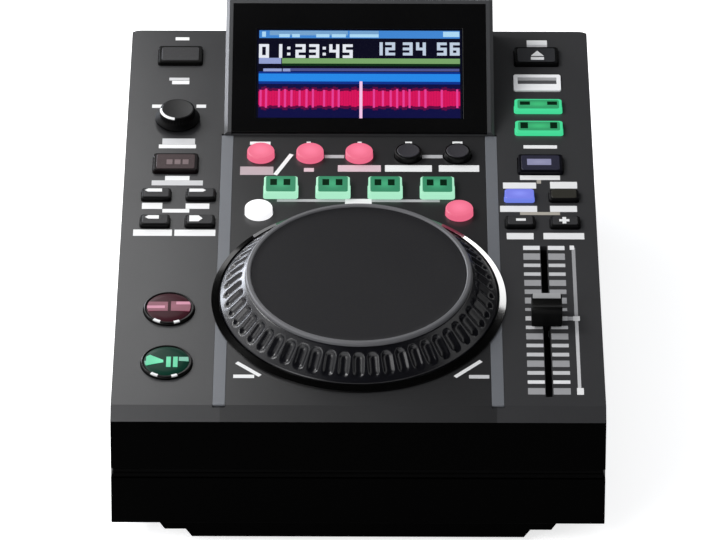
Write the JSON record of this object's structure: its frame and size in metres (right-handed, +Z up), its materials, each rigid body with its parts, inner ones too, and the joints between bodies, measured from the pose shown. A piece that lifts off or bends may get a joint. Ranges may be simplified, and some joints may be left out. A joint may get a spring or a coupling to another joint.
{
  "type": "tabletop dj cd player",
  "caption": "Wedge-shaped tabletop disc player for DJ use, with a tilted colour display, jog wheel, pitch fader, lit buttons and a front disc slot.",
  "frame": {"origin": "on the table, under the middle of the whole part", "axes": "+X to the right seen from the front, +Y to the rear, +Z up"},
  "size_m": [0.2178, 0.2914, 0.1183],
  "materials": {
    "case_grey": "fine matt grain, dark grey",
    "fascia_black": "deep gloss black",
    "base_black": "satin black powder coat",
    "strip_grey": "satin bluish grey",
    "rubber_black": "matt",
    "screw_black": "blackened steel",
    "board_green": "solder mask",
    "housing_grey": "satin grey",
    "bezel_black": "gloss black",
    "screen_blue": "lit colour display",
    "jog_ring_black": "gloss black",
    "jog_grip": "satin dimpled grip",
    "jog_trim": "satin turned ring",
    "jog_face": "fine matt face",
    "steel": "turned",
    "bronze": "sintered",
    "knob_black": "soft touch",
    "fader_black": "satin",
    "fader_steel": "satin",
    "port_white": "lit white frame",
    "button_grey": "satin",
    "button_maroon": "smoked, dimly lit",
    "button_dark": "smoked, unlit",
    "button_violet": "smoked, dimly lit",
    "button_green": "lit green",
    "button_blue": "lit blue",
    "button_pink": "lit red",
    "button_white": "lit white",
    "cue_red": "smoked red, lit glyph",
    "play_green": "smoked green, lit glyph",
    "panel_black": "satin",
    "socket_metal": "plated",
    "inlet_black": "satin",
    "rocker_red": "gloss",
    "chassis_steel": "zinc plated sheet",
    "sled_black": "moulded"
  },
  "bodies": {
    "case": {"upper_case": "case_grey", "front_fascia": "fascia_black", "rear_panel": "panel_black", "bottom_case": "base_black", "rubber_feet": "rubber_black", "trim_strips": "strip_grey", "case_screws": "screw_black", "control_boards": "board_green", "main_board": "board_green", "display_housing": "housing_grey", "display_bezel": "bezel_black", "lcd_module": "screen_blue", "jog_base_ring": "jog_ring_black", "jog_bearing": "bronze", "fader_body": "fader_steel", "usb_port": "port_white", "rear_sockets": "socket_metal", "power_inlet": "inlet_black", "drive_chassis": "chassis_steel"},
    "jog_wheel": {"jog_platter": "jog_grip", "jog_trim_ring": "jog_trim", "jog_top_plate": "jog_face", "jog_spindle": "steel", "encoder_disc": "steel"},
    "browse_shaft": {"browse_shaft": "steel"},
    "browse_knob": {"browse_knob": "knob_black"},
    "fader": {"fader_lever": "steel", "fader_cap": "fader_black"},
    "power_rocker": {"power_rocker": "rocker_red"},
    "loading_roller": {"loading_roller": "rubber_black"},
    "turntable": {"disc_turntable": "steel"},
    "laser_sled": {"laser_sled": "sled_black"},
    "lead_screw": {"lead_screw": "steel"},
    "back_button": {"back_button": "button_grey"},
    "shift_button": {"shift_button": "button_maroon"},
    "beat_button_1": {"beat_button_1": "button_dark"},
    "beat_button_2": {"beat_button_2": "button_dark"},
    "beat_button_3": {"beat_button_3": "button_dark"},
    "beat_button_4": {"beat_button_4": "button_dark"},
    "cue_button": {"cue_button": "cue_red"},
    "play_button": {"play_button": "play_green"},
    "loop_button_1": {"loop_button_1": "button_pink"},
    "loop_button_2": {"loop_button_2": "button_pink"},
    "loop_button_3": {"loop_button_3": "button_pink"},
    "loop_button_4": {"loop_button_4": "button_dark"},
    "loop_button_5": {"loop_button_5": "button_dark"},
    "pad_button_1": {"pad_button_1": "button_green"},
    "pad_button_2": {"pad_button_2": "button_green"},
    "pad_button_3": {"pad_button_3": "button_green"},
    "pad_button_4": {"pad_button_4": "button_green"},
    "mode_button_left": {"mode_button_left": "button_white"},
    "mode_button_right": {"mode_button_right": "button_pink"},
    "eject_button": {"eject_button": "button_dark"},
    "source_button_1": {"source_button_1": "button_green"},
    "source_button_2": {"source_button_2": "button_green"},
    "scratch_button": {"scratch_button": "button_violet"},
    "range_button_left": {"range_button_left": "button_blue"},
    "range_button_right": {"range_button_right": "button_dark"},
    "bend_down_button": {"bend_down_button": "button_dark"},
    "bend_up_button": {"bend_up_button": "button_dark"}
  },
  "joints": [
    {"name": "jog_spin", "type": "hinge", "parent": "case", "child": "jog_wheel", "pos_m": [0, -0.06604, 0.0784], "axis": [0, -0.0698, 0.9976], "continuous": true},
    {"name": "browse_push", "type": "slide", "parent": "case", "child": "browse_shaft", "axis": [0, -0.0698, 0.9976], "range_m": [-0.0008, 0], "stiffness_N_per_m": 600, "springref_m": 0.0005},
    {"name": "browse_turn", "type": "hinge", "parent": "browse_shaft", "child": "browse_knob", "pos_m": [-0.0845, 0.06564, 0.08761], "axis": [0, -0.0698, 0.9976], "continuous": true},
    {"name": "pitch_slide", "type": "slide", "parent": "case", "child": "fader", "axis": [0, 0.9976, 0.0698], "range_m": [-0.05, 0.05]},
    {"name": "power_switch", "type": "hinge", "parent": "case", "child": "power_rocker", "pos_m": [-0.046, 0.13316, 0.0399], "axis": [1, 0, 0], "range_deg": [0, 14]},
    {"name": "roller_spin", "type": "hinge", "parent": "case", "child": "loading_roller", "pos_m": [0, -0.13056, 0.0341], "axis": [1, 0, 0], "continuous": true},
    {"name": "turntable_spin", "type": "hinge", "parent": "case", "child": "turntable", "pos_m": [0, -0.07156, 0.0399], "axis": [0, 0, 1], "continuous": true},
    {"name": "sled_slide", "type": "slide", "parent": "case", "child": "laser_sled", "axis": [0, 1, 0], "range_m": [0, 0.034]},
    {"name": "lead_screw_spin", "type": "hinge", "parent": "case", "child": "lead_screw", "pos_m": [0.027, -0.07156, 0.0321], "axis": [0, 1, 0], "continuous": true},
    {"name": "back_press", "type": "slide", "parent": "case", "child": "back_button", "axis": [0, -0.0698, 0.9976], "range_m": [-0.001, 0], "stiffness_N_per_m": 300, "springref_m": 0.0005},
    {"name": "shift_press", "type": "slide", "parent": "case", "child": "shift_button", "axis": [0, -0.0698, 0.9976], "range_m": [-0.001, 0], "stiffness_N_per_m": 300, "springref_m": 0.0005},
    {"name": "beat_1_press", "type": "slide", "parent": "case", "child": "beat_button_1", "axis": [0, -0.0698, 0.9976], "range_m": [-0.001, 0], "stiffness_N_per_m": 300, "springref_m": 0.0005},
    {"name": "beat_2_press", "type": "slide", "parent": "case", "child": "beat_button_2", "axis": [0, -0.0698, 0.9976], "range_m": [-0.001, 0], "stiffness_N_per_m": 300, "springref_m": 0.0005},
    {"name": "beat_3_press", "type": "slide", "parent": "case", "child": "beat_button_3", "axis": [0, -0.0698, 0.9976], "range_m": [-0.001, 0], "stiffness_N_per_m": 300, "springref_m": 0.0005},
    {"name": "beat_4_press", "type": "slide", "parent": "case", "child": "beat_button_4", "axis": [0, -0.0698, 0.9976], "range_m": [-0.001, 0], "stiffness_N_per_m": 300, "springref_m": 0.0005},
    {"name": "cue_press", "type": "slide", "parent": "case", "child": "cue_button", "axis": [0, -0.0698, 0.9976], "range_m": [-0.001, 0], "stiffness_N_per_m": 300, "springref_m": 0.0005},
    {"name": "play_press", "type": "slide", "parent": "case", "child": "play_button", "axis": [0, -0.0698, 0.9976], "range_m": [-0.001, 0], "stiffness_N_per_m": 300, "springref_m": 0.0005},
    {"name": "loop_1_press", "type": "slide", "parent": "case", "child": "loop_button_1", "axis": [0, -0.0698, 0.9976], "range_m": [-0.001, 0], "stiffness_N_per_m": 300, "springref_m": 0.0005},
    {"name": "loop_2_press", "type": "slide", "parent": "case", "child": "loop_button_2", "axis": [0, -0.0698, 0.9976], "range_m": [-0.001, 0], "stiffness_N_per_m": 300, "springref_m": 0.0005},
    {"name": "loop_3_press", "type": "slide", "parent": "case", "child": "loop_button_3", "axis": [0, -0.0698, 0.9976], "range_m": [-0.001, 0], "stiffness_N_per_m": 300, "springref_m": 0.0005},
    {"name": "loop_4_press", "type": "slide", "parent": "case", "child": "loop_button_4", "axis": [0, -0.0698, 0.9976], "range_m": [-0.001, 0], "stiffness_N_per_m": 300, "springref_m": 0.0005},
    {"name": "loop_5_press", "type": "slide", "parent": "case", "child": "loop_button_5", "axis": [0, -0.0698, 0.9976], "range_m": [-0.001, 0], "stiffness_N_per_m": 300, "springref_m": 0.0005},
    {"name": "pad_1_press", "type": "slide", "parent": "case", "child": "pad_button_1", "axis": [0, -0.0698, 0.9976], "range_m": [-0.001, 0], "stiffness_N_per_m": 300, "springref_m": 0.0005},
    {"name": "pad_2_press", "type": "slide", "parent": "case", "child": "pad_button_2", "axis": [0, -0.0698, 0.9976], "range_m": [-0.001, 0], "stiffness_N_per_m": 300, "springref_m": 0.0005},
    {"name": "pad_3_press", "type": "slide", "parent": "case", "child": "pad_button_3", "axis": [0, -0.0698, 0.9976], "range_m": [-0.001, 0], "stiffness_N_per_m": 300, "springref_m": 0.0005},
    {"name": "pad_4_press", "type": "slide", "parent": "case", "child": "pad_button_4", "axis": [0, -0.0698, 0.9976], "range_m": [-0.001, 0], "stiffness_N_per_m": 300, "springref_m": 0.0005},
    {"name": "mode_left_press", "type": "slide", "parent": "case", "child": "mode_button_left", "axis": [0, -0.0698, 0.9976], "range_m": [-0.001, 0], "stiffness_N_per_m": 300, "springref_m": 0.0005},
    {"name": "mode_right_press", "type": "slide", "parent": "case", "child": "mode_button_right", "axis": [0, -0.0698, 0.9976], "range_m": [-0.001, 0], "stiffness_N_per_m": 300, "springref_m": 0.0005},
    {"name": "eject_press", "type": "slide", "parent": "case", "child": "eject_button", "axis": [0, -0.0698, 0.9976], "range_m": [-0.001, 0], "stiffness_N_per_m": 300, "springref_m": 0.0005},
    {"name": "source_1_press", "type": "slide", "parent": "case", "child": "source_button_1", "axis": [0, -0.0698, 0.9976], "range_m": [-0.001, 0], "stiffness_N_per_m": 300, "springref_m": 0.0005},
    {"name": "source_2_press", "type": "slide", "parent": "case", "child": "source_button_2", "axis": [0, -0.0698, 0.9976], "range_m": [-0.001, 0], "stiffness_N_per_m": 300, "springref_m": 0.0005},
    {"name": "scratch_press", "type": "slide", "parent": "case", "child": "scratch_button", "axis": [0, -0.0698, 0.9976], "range_m": [-0.001, 0], "stiffness_N_per_m": 300, "springref_m": 0.0005},
    {"name": "range_left_press", "type": "slide", "parent": "case", "child": "range_button_left", "axis": [0, -0.0698, 0.9976], "range_m": [-0.001, 0], "stiffness_N_per_m": 300, "springref_m": 0.0005},
    {"name": "range_right_press", "type": "slide", "parent": "case", "child": "range_button_right", "axis": [0, -0.0698, 0.9976], "range_m": [-0.001, 0], "stiffness_N_per_m": 300, "springref_m": 0.0005},
    {"name": "bend_down_press", "type": "slide", "parent": "case", "child": "bend_down_button", "axis": [0, -0.0698, 0.9976], "range_m": [-0.001, 0], "stiffness_N_per_m": 300, "springref_m": 0.0005},
    {"name": "bend_up_press", "type": "slide", "parent": "case", "child": "bend_up_button", "axis": [0, -0.0698, 0.9976], "range_m": [-0.001, 0], "stiffness_N_per_m": 300, "springref_m": 0.0005}
  ],
  "couplings": [
    {"joint": "lead_screw_spin", "follows": "sled_slide", "rad_per_m": 1047.2}
  ]
}
